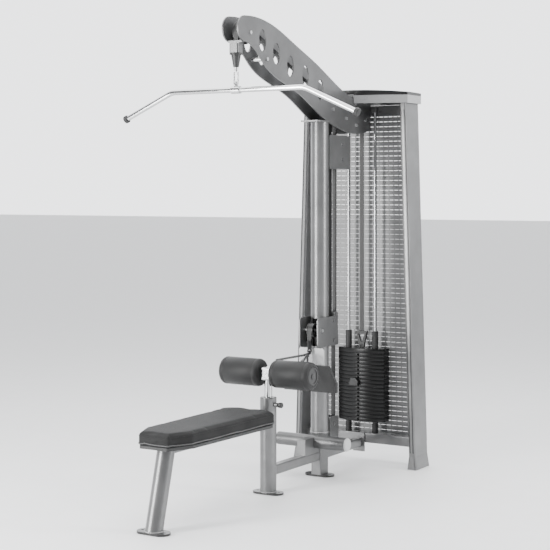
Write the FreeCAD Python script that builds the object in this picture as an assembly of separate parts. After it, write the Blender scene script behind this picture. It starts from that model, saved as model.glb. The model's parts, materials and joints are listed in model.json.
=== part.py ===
"""Lat pulldown and low row machine, built from its separate pieces.

Frame: origin at floor level under the main column's axis. +X is to the user's right as they face
the weight tower, +Y runs from the bench to the tower, +Z is up. Millimetres.
"""
import FreeCAD, Part
import math
import os

from FreeCAD import Rotation, Vector

# ---------------------------------------------------------------- driving dimensions
# main column, its pedestal and the low rails
COLUMN_R = 48.0
COLUMN_WALL = 3.0
COLUMN_BOTTOM = 236.0
COLUMN_TOP = 1905.0
HEAD_PLATE_T = 8.0
STUB_HALF_X = 30.0
STUB_HALF_Y = 43.0
RAIL_HALF = 25.0
RAIL_BOTTOM = 88.0
RAIL_TOP = 138.0
FOOT_LENGTH = 170.0
FOOT_WIDTH = 84.0
FOOT_T = 10.0
ANCHOR_SPACING = 124.0
ANCHOR_R = 6.5
FOOT_BAR_Y = -80.0
FOOT_BAR_Z = 195.0
FOOT_BAR_R = 35.0
FOOT_BAR_HALF = 208.0

# bench
REAR_POST_Y = -530.0
REAR_POST_R = 42.0
REAR_POST_TOP = 490.0
LEG_R = 41.0
LEG_TOP_Y = -1410.0
LEG_FOOT_Y = -1508.0
SEAT_FRONT_Y = -1525.0
SEAT_REAR_Y = -662.0
SEAT_HALF_WIDTH = 163.0
SEAT_NOSE_HALF = 85.0
SEAT_TOP = 446.0
SEAT_PAD_T = 58.0
SEAT_BOARD_T = 14.0
SEAT_RAIL_H = 32.0

# thigh rollers
ROLLER_Z = 610.0
ROLLER_R = 71.0
ROLLER_INNER = 32.0
ROLLER_OUTER = 266.0
AXLE_R = 12.5
THIGH_POST_R = 20.0
HEIGHT_PIN_Z = 452.0

# overhead arm
ARM_IN = 40.0
ARM_OUT = 48.0
ARM_END_Y = 503.0
BELT_WIDTH = 25.0
BELT_T = 3.0
AIR = 0.3
BELT_OFFSET = BELT_T / 2 + AIR

# pulleys: (y, z, radius of the belt's centre line)
TIP = (-775.0, 2315.0, 55.0)
COLUMN_TOP_WHEEL = (62.5, 1978.0, 48.0)
STACK_FRONT = (211.5, 1935.0, 48.0)
STACK_REAR = (439.0, 1935.0, 48.0)
BLOCK = (137.0, 850.0, 26.5)
ROW = (-78.0, 790.0, 34.0)
BOTTOM = (108.0, 262.0, 42.0)
RUN_SPLIT_Z = 1925.0
BLOCK_TAIL_Z = 692.0
WHEEL_HALF = 18.0
GROOVE_HALF = 14.0
FLANGE_RISE = 5.0
PIN_R = 6.0
RUNNING_FIT = 0.05

# weight tower
POST_W = 40.0
POST_FRONT = 385.0
POST_REAR = 550.0
POST_OUT_FOOT = 385.0
POST_LEAN = 60.0
POST_TOP = 2022.0
POST_WALL = 3.0
CAP_TOP = 2078.0
DOME_TOP = 2100.0
ROD_X = 85.0
ROD_Y = 487.0
ROD_R = 9.5
BEAM_BOTTOM = 109.0
BEAM_TOP = 165.0

# weight stack
PLATE_HALF = 146.0
PLATE_CORNER_Y = 479.0
PLATE_NOSE_Y = 440.0
PLATE_REAR_Y = 548.0
PLATE_T = 20.5
PLATE_PITCH = 21.5
STACK_BOTTOM = 230.0
LOWER_COUNT = 10
LIFTED_COUNT = 8
STEM_R = 11.0
SELECT_PIN_R = 5.0

# lat bar, hung below the arm's tip
HANG_Y = TIP[0] - TIP[2]
BAR_R = 13.0
BAR_HALF = 660.0
BAR_BEND_X = 385.0
BAR_Z = 2030.0
BAR_END_Z = 1908.0
BAR_BEND_R = 120.0

# row handle, resting forward of its pulley
HOOK_Y = ROW[0] - ROW[2]
HANDLE_EYE_Z = 682.0
HANDLE_REACH = 195.0
HANDLE_DROP_DEG = 25.0
HANDLE_HALF_X = 80.0
GRIP_R = 15.0
GRIP_HALF = 58.0
HANDLE_ROD_R = 6.0


# ---------------------------------------------------------------- small shape helpers
def box(x, y, z):
    """Block between pairs of limits along each axis."""
    corner = Vector(x[0], y[0], z[0])
    return Part.makeBox(x[1] - x[0], y[1] - y[0], z[1] - z[0], corner)


def rod(start, end, radius):
    """Round bar from one point to another."""
    a, b = Vector(*start), Vector(*end)
    return Part.makeCylinder(radius, a.distanceToPoint(b), a, b - a)


def pipe(start, end, outer, inner):
    return rod(start, end, outer).cut(rod(start, end, inner))


def rounded(shape, radius, axis):
    """Fillets the edges of a block that run along one axis."""
    edges = []
    for edge in shape.Edges:
        if edge.Curve.TypeId == "Part::GeomLine" and abs(edge.tangentAt(0).dot(axis)) > 0.999:
            edges.append(edge)
    return shape.makeFillet(radius, edges)


def both_sides(shape):
    """A piece and its mirror image across the machine's centre plane."""
    mirrored = shape.mirror(Vector(0, 0, 0), Vector(1, 0, 0))
    return [shape, mirrored]


def prism(points, thickness):
    """Solid from a closed outline of points, thickened along a vector."""
    outline = Part.makePolygon(points + [points[0]])
    return Part.Face(outline).extrude(thickness)


def rounded_outline(corners, radius):
    """Closed wire through planar corners, each rounded with an arc of the given radius."""
    edges = []
    count = len(corners)
    ends = []
    for i in range(count):
        here = corners[i]
        before = corners[i - 1] - here
        after = corners[(i + 1) % count] - here
        before.normalize()
        after.normalize()
        half = before.getAngle(after) / 2
        reach = radius / math.tan(half)
        middle = before + after
        middle.normalize()
        centre = here + middle * (radius / math.sin(half))
        ends.append((here + before * reach, centre - middle * radius, here + after * reach))
    for i in range(count):
        start, mid, end = ends[i]
        edges.append(Part.Arc(start, mid, end).toShape())
        following = ends[(i + 1) % count][0]
        if end.distanceToPoint(following) > 1e-6:
            edges.append(Part.LineSegment(end, following).toShape())
    return Part.Wire(edges)


def spline_edge(points):
    curve = Part.BSplineCurve()
    curve.interpolate(points)
    return curve.toShape()


def turn(vector, angle):
    """Rotates a (y, z) pair counter-clockwise."""
    c, s = math.cos(angle), math.sin(angle)
    return (vector[0] * c - vector[1] * s, vector[0] * s + vector[1] * c)


def tangent_normal(a, b, side_a, side_b):
    """Left-hand normal of the belt run from stop a to stop b, each (y, z, radius)."""
    dy, dz = b[0] - a[0], b[1] - a[1]
    distance = math.hypot(dy, dz)
    lean = (side_b * b[2] - side_a * a[2]) / distance
    across = math.sqrt(1 - lean * lean)
    ey, ez = dy / distance, dz / distance
    return (lean * ey - across * ez, lean * ez + across * ey)


def belt(stops):
    """Flat belt along stops (y, z, radius, side): side is +1 when the pulley lies to the left
    of the belt's travel, -1 to the right and 0 for a free end."""
    normals = []
    for a, b in zip(stops, stops[1:]):
        normals.append(tangent_normal(a, b, a[3], b[3]))
    edges = []
    leave = Vector(0, stops[0][0], stops[0][1])
    first = leave
    for i in range(1, len(stops)):
        y, z, radius, side = stops[i]
        arrive_n = normals[i - 1]
        arrive = Vector(0, y - side * radius * arrive_n[0], z - side * radius * arrive_n[1])
        edges.append(Part.LineSegment(leave, arrive).toShape())
        if side == 0:
            break
        leave_n = normals[i]
        cross = arrive_n[0] * leave_n[1] - arrive_n[1] * leave_n[0]
        dot = arrive_n[0] * leave_n[0] + arrive_n[1] * leave_n[1]
        angle = (side * math.atan2(cross, dot)) % (2 * math.pi)
        mid_n = turn(arrive_n, side * angle / 2)
        middle = Vector(0, y - side * radius * mid_n[0], z - side * radius * mid_n[1])
        leave = Vector(0, y - side * radius * leave_n[0], z - side * radius * leave_n[1])
        edges.append(Part.Arc(arrive, middle, leave).toShape())
    path = Part.Wire(edges)
    across = Vector(0, normals[0][0], normals[0][1]) * (BELT_T / 2)
    wide = Vector(BELT_WIDTH / 2, 0, 0)
    corners = [first - wide - across, first + wide - across, first + wide + across,
               first - wide + across]
    profile = Part.makePolygon(corners + [corners[0]])
    return path.makePipeShell([profile], True, False)


def wheel(stop):
    """Flanged belt pulley with a hub, a thin web and six lightening holes."""
    y, z, belt_radius = stop
    radius = belt_radius - BELT_OFFSET
    rim = rod((-WHEEL_HALF, y, z), (WHEEL_HALF, y, z), radius + FLANGE_RISE)
    groove = pipe((-GROOVE_HALF, y, z), (GROOVE_HALF, y, z), radius + FLANGE_RISE + 1, radius)
    body = rim.cut(groove)
    web_half = 4.0
    hub_r = 12.0
    if radius - 7 > hub_r + 6:
        for side in (-1, 1):
            start = (side * web_half, y, z)
            end = (side * (WHEEL_HALF + 1), y, z)
            body = body.cut(pipe(start, end, radius - 5, hub_r))
        hole_ring = (hub_r + radius - 5) / 2
        hole_r = min((radius - 5 - hub_r) / 2 - 3, hole_ring / 2 - 3)
        for i in range(6):
            angle = i * math.pi / 3
            hy = y + hole_ring * math.cos(angle)
            hz = z + hole_ring * math.sin(angle)
            body = body.cut(rod((-web_half - 1, hy, hz), (web_half + 1, hy, hz), hole_r))
    return body.cut(rod((-WHEEL_HALF - 1, y, z), (WHEEL_HALF + 1, y, z), PIN_R + RUNNING_FIT))


def hex_head(x, y, z, outward, radius=10.0, height=6.0):
    """Hexagon bolt head on a face whose outward direction is +X or -X."""
    points = []
    for i in range(6):
        angle = i * math.pi / 3
        points.append(Vector(x, y + radius * math.cos(angle), z + radius * math.sin(angle)))
    return prism(points, Vector(outward * height, 0, 0))


# ---------------------------------------------------------------- base and column
def foot_plate(y):
    """Obround pedestal plate with two anchor holes, long axis across the machine."""
    straight = FOOT_LENGTH / 2 - FOOT_WIDTH / 2
    r = FOOT_WIDTH / 2
    plate = box((-straight, straight), (y - r, y + r), (0, FOOT_T))
    for side in (-1, 1):
        plate = plate.fuse(rod((side * straight, y, 0), (side * straight, y, FOOT_T), r))
    for side in (-1, 1):
        x = side * ANCHOR_SPACING / 2
        plate = plate.cut(rod((x, y, -1), (x, y, FOOT_T + 1), ANCHOR_R))
    return plate.removeSplitter()


def foot_plates():
    return [foot_plate(y) for y in (0.0, REAR_POST_Y, LEG_FOOT_Y)]


def main_column():
    """Round tube with its head plate, and slots where the row belt passes through."""
    tube = pipe((0, 0, COLUMN_BOTTOM), (0, 0, COLUMN_TOP), COLUMN_R, COLUMN_R - COLUMN_WALL)
    head = box((-58, 58), (-112, 10), (COLUMN_TOP, COLUMN_TOP + HEAD_PLATE_T))
    head = rounded(head, 12, Vector(0, 0, 1))
    wheel_slot = box((-21, 21), (-COLUMN_R - 1, 0), (700, 850))
    rear_slot = box((-16, 16), (0, COLUMN_R + 1), (250, 430))
    column = tube.fuse(head).cut(wheel_slot).cut(rear_slot)
    for side in (-1, 1):
        column = column.cut(arm_plate(side))
    return column


def column_foot_stub():
    """Rectangular pedestal tube under the column, closed by a seat plate."""
    outer = box((-STUB_HALF_X, STUB_HALF_X), (-STUB_HALF_Y, STUB_HALF_Y), (FOOT_T, 230))
    outer = rounded(outer, 6, Vector(0, 0, 1))
    inner = box((-STUB_HALF_X + 4, STUB_HALF_X - 4), (-STUB_HALF_Y + 4, STUB_HALF_Y - 4),
                (FOOT_T - 1, 224))
    seat = rod((0, 0, 230), (0, 0, COLUMN_BOTTOM), COLUMN_R + 3)
    return outer.cut(inner).fuse(seat)


def bench_rail():
    """Low rail from the rear seat post to the column's foot, with the foot bar's saddle."""
    rail = box((-RAIL_HALF, RAIL_HALF), (REAR_POST_Y, -STUB_HALF_Y), (RAIL_BOTTOM, RAIL_TOP))
    rail = rounded(rail, 8, Vector(0, 1, 0))
    post = rod((0, REAR_POST_Y, 0), (0, REAR_POST_Y, 200), REAR_POST_R)
    saddle = box((-RAIL_HALF + 1, RAIL_HALF - 1), (-198, -STUB_HALF_Y), (RAIL_TOP - 4, 222))
    bar = rod((-60, FOOT_BAR_Y, FOOT_BAR_Z), (60, FOOT_BAR_Y, FOOT_BAR_Z), FOOT_BAR_R)
    return rail.cut(post).fuse(saddle.cut(bar)).removeSplitter()


def tower_rail():
    """Low rail from the column's foot to the tower's beam, with the bottom pulley's cheeks."""
    rail = box((-RAIL_HALF, RAIL_HALF), (STUB_HALF_Y, 445), (RAIL_BOTTOM, RAIL_TOP))
    rail = rounded(rail, 8, Vector(0, 1, 0))
    flange = box((-36, 36), (445, 455), (60, BEAM_TOP))
    shape = rail.fuse(flange)
    y, z = BOTTOM[0], BOTTOM[1]
    for side in (-1, 1):
        low, high = sorted((side * 19.5, side * RAIL_HALF))
        cheek = box((low, high), (y - 44, y + 57), (RAIL_TOP - 6, z + 44))
        cheek = rounded(cheek, 18, Vector(1, 0, 0))
        shape = shape.fuse(cheek)
    return shape.cut(rod((-40, y, z), (40, y, z), PIN_R)).removeSplitter()


def foot_bar():
    return pipe((-FOOT_BAR_HALF, FOOT_BAR_Y, FOOT_BAR_Z), (FOOT_BAR_HALF, FOOT_BAR_Y, FOOT_BAR_Z),
                FOOT_BAR_R, FOOT_BAR_R - 3)


def foot_bar_caps():
    """Domed plastic plugs in the foot bar's ends."""
    dome = rod((FOOT_BAR_HALF, FOOT_BAR_Y, FOOT_BAR_Z),
               (FOOT_BAR_HALF + 11, FOOT_BAR_Y, FOOT_BAR_Z), FOOT_BAR_R)
    outer = []
    for edge in dome.Edges:
        if edge.BoundBox.XMin > FOOT_BAR_HALF + 10:
            outer.append(edge)
    dome = dome.makeFillet(9, outer)
    spigot = rod((FOOT_BAR_HALF - 20, FOOT_BAR_Y, FOOT_BAR_Z),
                 (FOOT_BAR_HALF, FOOT_BAR_Y, FOOT_BAR_Z), FOOT_BAR_R - 3)
    return both_sides(dome.fuse(spigot))


# ---------------------------------------------------------------- bench
def rear_seat_post():
    """Round post with a bushed collar for the thigh post and a barrel for the height pin."""
    tube = pipe((0, REAR_POST_Y, FOOT_T), (0, REAR_POST_Y, 400), REAR_POST_R, REAR_POST_R - 4)
    collar = rod((0, REAR_POST_Y, 400), (0, REAR_POST_Y, REAR_POST_TOP), REAR_POST_R)
    rim = []
    for edge in collar.Edges:
        if edge.BoundBox.ZMin > REAR_POST_TOP - 1:
            rim.append(edge)
    collar = collar.makeFillet(6, rim)
    barrel = rod((REAR_POST_R - 6, REAR_POST_Y, HEIGHT_PIN_Z), (56, REAR_POST_Y, HEIGHT_PIN_Z), 11)
    shape = tube.fuse(collar).fuse(barrel)
    bore = rod((0, REAR_POST_Y, 395), (0, REAR_POST_Y, REAR_POST_TOP + 1),
               THIGH_POST_R + RUNNING_FIT)
    pin_bore = rod((10, REAR_POST_Y, HEIGHT_PIN_Z), (60, REAR_POST_Y, HEIGHT_PIN_Z),
                   5 + RUNNING_FIT)
    return shape.cut(bore).cut(pin_bore).removeSplitter()


def leg_axis():
    """Points on the front leg's centre line, below the floor and above the seat rail."""
    slope = (LEG_TOP_Y - LEG_FOOT_Y) / 370.0
    return (0, LEG_FOOT_Y - 60 * slope, -60), (0, LEG_FOOT_Y + 440 * slope, 440)


def seat_board_bottom():
    return SEAT_TOP - SEAT_PAD_T - SEAT_BOARD_T


def front_leg():
    """Sloping round leg, cut level at the floor plate and under the seat board."""
    start, end = leg_axis()
    leg = pipe(start, end, LEG_R, LEG_R - 3)
    keep = box((-100, 100), (-1700, -1200), (FOOT_T, seat_board_bottom()))
    return leg.common(keep)


def seat_rail():
    """Rectangular tube under the seat board, from the front leg to the rear post."""
    low = seat_board_bottom() - SEAT_RAIL_H
    rail = box((-30, 30), (LEG_TOP_Y, REAR_POST_Y), (low, seat_board_bottom()))
    rail = rounded(rail, 5, Vector(0, 1, 0))
    hollow = box((-26, 26), (LEG_TOP_Y, REAR_POST_Y), (low + 4, seat_board_bottom() - 4))
    start, end = leg_axis()
    post = rod((0, REAR_POST_Y, 0), (0, REAR_POST_Y, 480), REAR_POST_R)
    return rail.cut(hollow).cut(rod(start, end, LEG_R)).cut(post)


def seat_outline(inset, z):
    """Seat plan with clipped corners and a slightly narrower front."""
    rear, front = SEAT_REAR_Y - inset, SEAT_FRONT_Y + inset
    half = SEAT_HALF_WIDTH - inset
    nose = SEAT_NOSE_HALF - inset / 2
    clip = 62
    right = [Vector(half - clip, rear, z), Vector(half, rear - clip * 0.8, z),
             Vector(half - 16, front + clip * 2, z), Vector(nose, front, z)]
    left = [Vector(-p.x, p.y, p.z) for p in reversed(right)]
    return right + left


def seat_board():
    z = seat_board_bottom()
    wire = rounded_outline(seat_outline(14, z), 14)
    return Part.Face(wire).extrude(Vector(0, 0, SEAT_BOARD_T))


def seat_pad():
    z = SEAT_TOP - SEAT_PAD_T
    wire = rounded_outline(seat_outline(0, z), 14)
    pad = Part.Face(wire).extrude(Vector(0, 0, SEAT_PAD_T))
    rim = []
    for edge in pad.Edges:
        if edge.BoundBox.ZMin > SEAT_TOP - 1:
            rim.append(edge)
    return pad.makeFillet(9, rim)


# ---------------------------------------------------------------- thigh rollers
def thigh_post():
    """Chrome post with its head block and the cross axle that carries the rollers."""
    y = REAR_POST_Y
    post = rod((0, y, 240), (0, y, ROLLER_Z - 30), THIGH_POST_R)
    block = box((-24, 24), (y - 28, y + 28), (ROLLER_Z - 34, ROLLER_Z + 32))
    block = rounded(block, 8, Vector(1, 0, 0))
    collar = rod((-ROLLER_INNER + 1.5, y, ROLLER_Z), (ROLLER_INNER - 1.5, y, ROLLER_Z), 19)
    axle = rod((-ROLLER_OUTER + 4, y, ROLLER_Z), (ROLLER_OUTER - 4, y, ROLLER_Z), AXLE_R)
    return post.fuse(block).fuse(collar).fuse(axle).removeSplitter()


def roller(side):
    """Foam roller with rounded shoulders, recessed for its end cap."""
    y = REAR_POST_Y
    foam = rod((ROLLER_INNER, y, ROLLER_Z), (ROLLER_OUTER, y, ROLLER_Z), ROLLER_R)
    foam = foam.makeFillet(22, [e for e in foam.Edges if e.Curve.TypeId == "Part::GeomCircle"])
    bore = rod((0, y, ROLLER_Z), (ROLLER_OUTER + 1, y, ROLLER_Z), AXLE_R + RUNNING_FIT)
    recess = rod((ROLLER_OUTER - 9, y, ROLLER_Z), (ROLLER_OUTER + 1, y, ROLLER_Z), 46)
    foam = foam.cut(bore).cut(recess)
    if side < 0:
        foam = foam.mirror(Vector(0, 0, 0), Vector(1, 0, 0))
    return foam


def roller_end_caps():
    """Dished discs bolted to the axle's ends, inside the foam's recesses."""
    y = REAR_POST_Y
    disc = rod((ROLLER_OUTER - 8, y, ROLLER_Z), (ROLLER_OUTER - 1, y, ROLLER_Z), 45.5)
    dish = pipe((ROLLER_OUTER - 4, y, ROLLER_Z), (ROLLER_OUTER, y, ROLLER_Z), 37, 15)
    socket = rod((ROLLER_OUTER - 9, y, ROLLER_Z), (ROLLER_OUTER - 4, y, ROLLER_Z), AXLE_R)
    return both_sides(disc.cut(dish).cut(socket))


def height_pin():
    """Pull pin: shank in the barrel, and a round knob outside."""
    y, z = REAR_POST_Y, HEIGHT_PIN_Z
    shank = rod((THIGH_POST_R + 1, y, z), (57, y, z), 5)
    neck = rod((56.4, y, z), (62, y, z), 8)
    knob = rod((62, y, z), (84, y, z), 14)
    knob = knob.makeFillet(5, [e for e in knob.Edges if e.Curve.TypeId == "Part::GeomCircle"])
    return shank.fuse(neck).fuse(knob).removeSplitter()


# ---------------------------------------------------------------- overhead arm
ARM_TOP_EDGE = [(-820, 2394), (-720, 2396), (-540, 2365), (-340, 2293), (-110, 2207),
                (190, 2079), (ARM_END_Y, 2026)]
ARM_BOTTOM_EDGE = [(ARM_END_Y, 1878), (370, 1857), (285, 1854), (190, 1865), (-60, 1931),
                   (-248, 2021), (-475, 2094), (-630, 2160), (-755, 2250), (-820, 2266)]
ARM_WINDOWS = [(-660, 2287), (-527.5, 2231), (-389, 2178), (-235, 2138), (-76, 2074)]
ARM_SPACERS = [(-620, 2196), (-310, 2078), (330, 1902), (330, 2022)]
ARM_NOSE = (-886, 2330)


def arm_plate(side):
    """Laser-cut side plate: rounded nose, gently curved edges, five upright oval windows."""
    top = [Vector(ARM_IN, y, z) for y, z in ARM_TOP_EDGE]
    bottom = [Vector(ARM_IN, y, z) for y, z in ARM_BOTTOM_EDGE]
    nose = Part.Arc(bottom[-1], Vector(ARM_IN, *ARM_NOSE), top[0]).toShape()
    end = Part.LineSegment(top[-1], bottom[0]).toShape()
    outline = Part.Wire([nose, spline_edge(top), end, spline_edge(bottom)])
    plate = Part.Face(outline).extrude(Vector(ARM_OUT - ARM_IN, 0, 0))
    for y, z in ARM_WINDOWS:
        half_y, half_z = 33.0, 55.0
        oval = Part.Ellipse(Vector(ARM_IN - 1, y, z + half_z), Vector(ARM_IN - 1, y + half_y, z),
                            Vector(ARM_IN - 1, y, z))
        window = Part.Face(Part.Wire(oval.toShape())).extrude(Vector(ARM_OUT - ARM_IN + 2, 0, 0))
        plate = plate.cut(window)
    bolts = [(w[0], w[1]) for w in (TIP, COLUMN_TOP_WHEEL, STACK_FRONT, STACK_REAR)]
    for y, z in bolts + ARM_SPACERS:
        plate = plate.cut(rod((ARM_IN - 1, y, z), (ARM_OUT + 1, y, z), PIN_R))
    if side < 0:
        plate = plate.mirror(Vector(0, 0, 0), Vector(1, 0, 0))
    return plate


def cross_bolt(y, z, reach):
    """Bolt right across the machine with a hexagon head at each end."""
    pin = rod((-reach, y, z), (reach, y, z), PIN_R)
    return pin.fuse(hex_head(reach, y, z, 1)).fuse(hex_head(-reach, y, z, -1))


def cross_bolts():
    """Pulley axles, and the spacer bolts that hold the two arm plates apart."""
    wheels = [TIP, COLUMN_TOP_WHEEL, STACK_FRONT, STACK_REAR]
    bolts = [cross_bolt(w[0], w[1], ARM_OUT) for w in wheels]
    bolts.append(cross_bolt(ROW[0], ROW[1], 58))
    bolts.append(cross_bolt(BOTTOM[0], BOTTOM[1], RAIL_HALF))
    for y, z in ARM_SPACERS:
        sleeve = rod((-ARM_IN, y, z), (ARM_IN, y, z), 11)
        bolts.append(sleeve.fuse(cross_bolt(y, z, ARM_OUT)))
    return bolts


def belt_stop_block():
    """Block between the arm plates that the lat belt's stopper comes up against."""
    y = HANG_Y
    block = box((-26, 26), (y - 25, y + 24), (2212, 2257))
    block = rounded(block, 8, Vector(0, 0, 1))
    ears = box((-ARM_IN, ARM_IN), (y - 12, y + 6), (2262, 2272))
    webs = box((-26, 26), (y - 12, y + 6), (2256, 2263))
    slot = box((-15, 15), (y - 4, y + 4), (2200, 2280))
    return block.fuse(webs).fuse(ears).cut(slot).removeSplitter()


def column_gussets():
    """Bolted side gussets behind the column's top."""
    plate = box((40, 46), (28, 262), (1655, 1838))
    plate = rounded(plate, 14, Vector(1, 0, 0))
    for z in (1705, 1790):
        plate = plate.fuse(hex_head(46, 175, z, 1))
    return both_sides(plate)


# ---------------------------------------------------------------- weight tower
def post_prism(inset):
    """Upright's section swept up its inward lean, shrunk by an inset."""
    inner, outer = POST_OUT_FOOT - POST_W + inset, POST_OUT_FOOT - inset
    front, rear = POST_FRONT + inset, POST_REAR - inset
    corners = [Vector(inner, front, 0), Vector(outer, front, 0), Vector(outer, rear, 0),
               Vector(inner, rear, 0)]
    wire = rounded_outline(corners, 10.0 - inset)
    return Part.Face(wire).extrude(Vector(-POST_LEAN, 0, POST_TOP))


def tower_post(side):
    """Hollow leaning upright with a flared foot and two trim grooves down its front."""
    shape = post_prism(0)
    foot_low = [Vector(336, 378, 0), Vector(393, 378, 0), Vector(393, 557, 0), Vector(336, 557, 0)]
    foot_high = [Vector(342, 384, 70), Vector(384, 384, 70), Vector(384, 551, 70),
                 Vector(342, 551, 70)]
    foot = Part.makeLoft([rounded_outline(foot_low, 12), rounded_outline(foot_high, 12)], True)
    hollow = post_prism(POST_WALL)
    hollow = hollow.cut(box((300, 420), (300, 600), (-1, 8)))
    shape = shape.fuse(foot).cut(hollow)
    for x in (POST_OUT_FOOT - POST_W + 9, POST_OUT_FOOT - 12):
        start = Vector(x, POST_FRONT - 1, 90)
        groove = box((x, x + 3), (POST_FRONT - 1, POST_FRONT + 1.5), (90, 91)).Faces
        lowest = min(groove, key=lambda face: face.CenterOfMass.z)
        run = Vector(-POST_LEAN * 1900 / POST_TOP, 0, 1900)
        shift = Vector(-POST_LEAN * start.z / POST_TOP, 0, 0)
        slot = lowest.extrude(run)
        slot.translate(shift)
        shape = shape.cut(slot)
    if side < 0:
        shape = shape.mirror(Vector(0, 0, 0), Vector(1, 0, 0))
    return shape


def between_posts(shape):
    """Trims a cross member to the inner faces of the leaning uprights."""
    for post in both_sides(post_prism(0)):
        shape = shape.cut(post)
    solids = sorted(shape.Solids, key=lambda solid: abs(solid.CenterOfMass.x))
    return solids[0]


def tower_base_beam():
    beam = box((-362, 362), (455, 515), (BEAM_BOTTOM, BEAM_TOP))
    return between_posts(rounded(beam, 6, Vector(1, 0, 0)))


def tower_top_beam():
    """Upper cross member with two lugs that hold the guide rods' tops."""
    beam = between_posts(box((-320, 320), (505, 545), (1960, 2018)))
    for side in (-1, 1):
        x = side * ROD_X
        lug = box((x - 16, x + 16), (ROD_Y - 16, 505), (1978, 2002))
        beam = beam.fuse(lug).cut(rod((x, ROD_Y, 1960), (x, ROD_Y, 1998), ROD_R))
    return beam.removeSplitter()


def cap_outline(inset, z):
    """Lens-fronted plan of the tower's cap."""
    half, front, rear, nose = 338 - inset, 384, 557 - inset, 290 + inset
    bow = Part.Arc(Vector(-half, front, z), Vector(0, nose, z), Vector(half, front, z)).toShape()
    right = Part.LineSegment(Vector(half, front, z), Vector(half, rear, z)).toShape()
    back = Part.LineSegment(Vector(half, rear, z), Vector(-half, rear, z)).toShape()
    left = Part.LineSegment(Vector(-half, rear, z), Vector(-half, front, z)).toShape()
    return Part.Face(Part.Wire([bow, right, back, left]))


def tower_cap():
    """Hollow cap with a shallow domed lid and a front slot for the arm."""
    solid = cap_outline(0, POST_TOP).extrude(Vector(0, 0, 100))
    reach, rise = 390.0, DOME_TOP - CAP_TOP
    radius = (reach ** 2 + rise ** 2) / (2 * rise)
    dome = Part.makeSphere(radius, Vector(0, 440, DOME_TOP - radius))
    solid = solid.common(dome)
    inside = cap_outline(4, POST_TOP - 1).extrude(Vector(0, 0, CAP_TOP - 5 - POST_TOP))
    arm_slot = box((-51, 51), (240, 345), (POST_TOP - 1, CAP_TOP - 6))
    return solid.cut(inside).cut(arm_slot)


def rear_panel():
    """Sheet panel that closes the tower's back between the leaning uprights."""
    low, high = 142.0, 2018.0
    corners = []
    for side, z in ((-1, low), (1, low), (1, high), (-1, high)):
        half = POST_OUT_FOOT - 4 - POST_LEAN * z / POST_TOP
        corners.append(Vector(side * half, POST_REAR + 0.5, z))
    return prism(corners, Vector(0, 2, 0))


def guide_rods():
    return [rod((x, ROD_Y, BEAM_TOP), (x, ROD_Y, 1998), ROD_R) for x in (-ROD_X, ROD_X)]


def stack_buffers():
    """Ribbed rubber buffers round the rods, under the lowest plate."""
    buffers = []
    for x in (-ROD_X, ROD_X):
        shape = pipe((x, ROD_Y, BEAM_TOP), (x, ROD_Y, STACK_BOTTOM - 0.5), 14, ROD_R)
        ribs = 6
        step = (STACK_BOTTOM - 0.5 - BEAM_TOP) / ribs
        for i in range(ribs):
            z = BEAM_TOP + i * step
            shape = shape.fuse(pipe((x, ROD_Y, z + 1), (x, ROD_Y, z + step - 3), 18, ROD_R))
        buffers.append(shape.removeSplitter())
    return buffers


# ---------------------------------------------------------------- weight stack
def weight_plate(z, thickness=PLATE_T):
    """Bow-fronted cast plate with rod holes, a stem hole and a pin hole from the front."""
    bow = Part.Arc(Vector(-PLATE_HALF, PLATE_CORNER_Y, z), Vector(0, PLATE_NOSE_Y, z),
                   Vector(PLATE_HALF, PLATE_CORNER_Y, z)).toShape()
    back = [Vector(PLATE_HALF, PLATE_CORNER_Y, z), Vector(PLATE_HALF, PLATE_REAR_Y - 10, z),
            Vector(PLATE_HALF - 10, PLATE_REAR_Y, z), Vector(10 - PLATE_HALF, PLATE_REAR_Y, z),
            Vector(-PLATE_HALF, PLATE_REAR_Y - 10, z), Vector(-PLATE_HALF, PLATE_CORNER_Y, z)]
    outline = Part.Wire([bow] + Part.makePolygon(back).Edges)
    plate = Part.Face(outline).extrude(Vector(0, 0, thickness))
    top = z + thickness
    for x in (-ROD_X, ROD_X):
        plate = plate.cut(rod((x, ROD_Y, z - 1), (x, ROD_Y, top + 1), ROD_R + 2.5))
    return plate


def pin_hole(z):
    """Front hole of one plate, from its bow to the stem."""
    mid = z + PLATE_T / 2
    return rod((0, PLATE_NOSE_Y - 5, mid), (0, ROD_Y, mid), SELECT_PIN_R + 0.4)


def drilled_plate(z):
    stem_hole = rod((0, ROD_Y, z - 1), (0, ROD_Y, z + PLATE_T + 1), STEM_R + 1.5)
    return weight_plate(z).cut(stem_hole).cut(pin_hole(z))


def lower_plates():
    return [drilled_plate(STACK_BOTTOM + i * PLATE_PITCH) for i in range(LOWER_COUNT)]


def lifted_plates():
    first = LOWER_COUNT
    return [drilled_plate(STACK_BOTTOM + i * PLATE_PITCH) for i in range(first, first + LIFTED_COUNT)]


def head_z():
    return STACK_BOTTOM + (LOWER_COUNT + LIFTED_COUNT) * PLATE_PITCH


def head_plate():
    """Top plate with the drilled selector stem that reaches down through the stack."""
    plate = weight_plate(head_z(), 24.0)
    stem = rod((0, ROD_Y, STACK_BOTTOM + 4), (0, ROD_Y, head_z() + 44), STEM_R)
    for i in range(LOWER_COUNT + LIFTED_COUNT):
        mid = STACK_BOTTOM + i * PLATE_PITCH + PLATE_T / 2
        stem = stem.cut(rod((0, ROD_Y - 20, mid), (0, ROD_Y + 20, mid), SELECT_PIN_R + 0.4))
    return plate.fuse(stem).removeSplitter()


def rod_sleeves():
    """Dark guide sleeves standing on the head plate, one round each rod."""
    low = head_z() + 24
    return [pipe((x, ROD_Y, low), (x, ROD_Y, low + 98), 18, ROD_R + 0.6) for x in (-ROD_X, ROD_X)]


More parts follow.
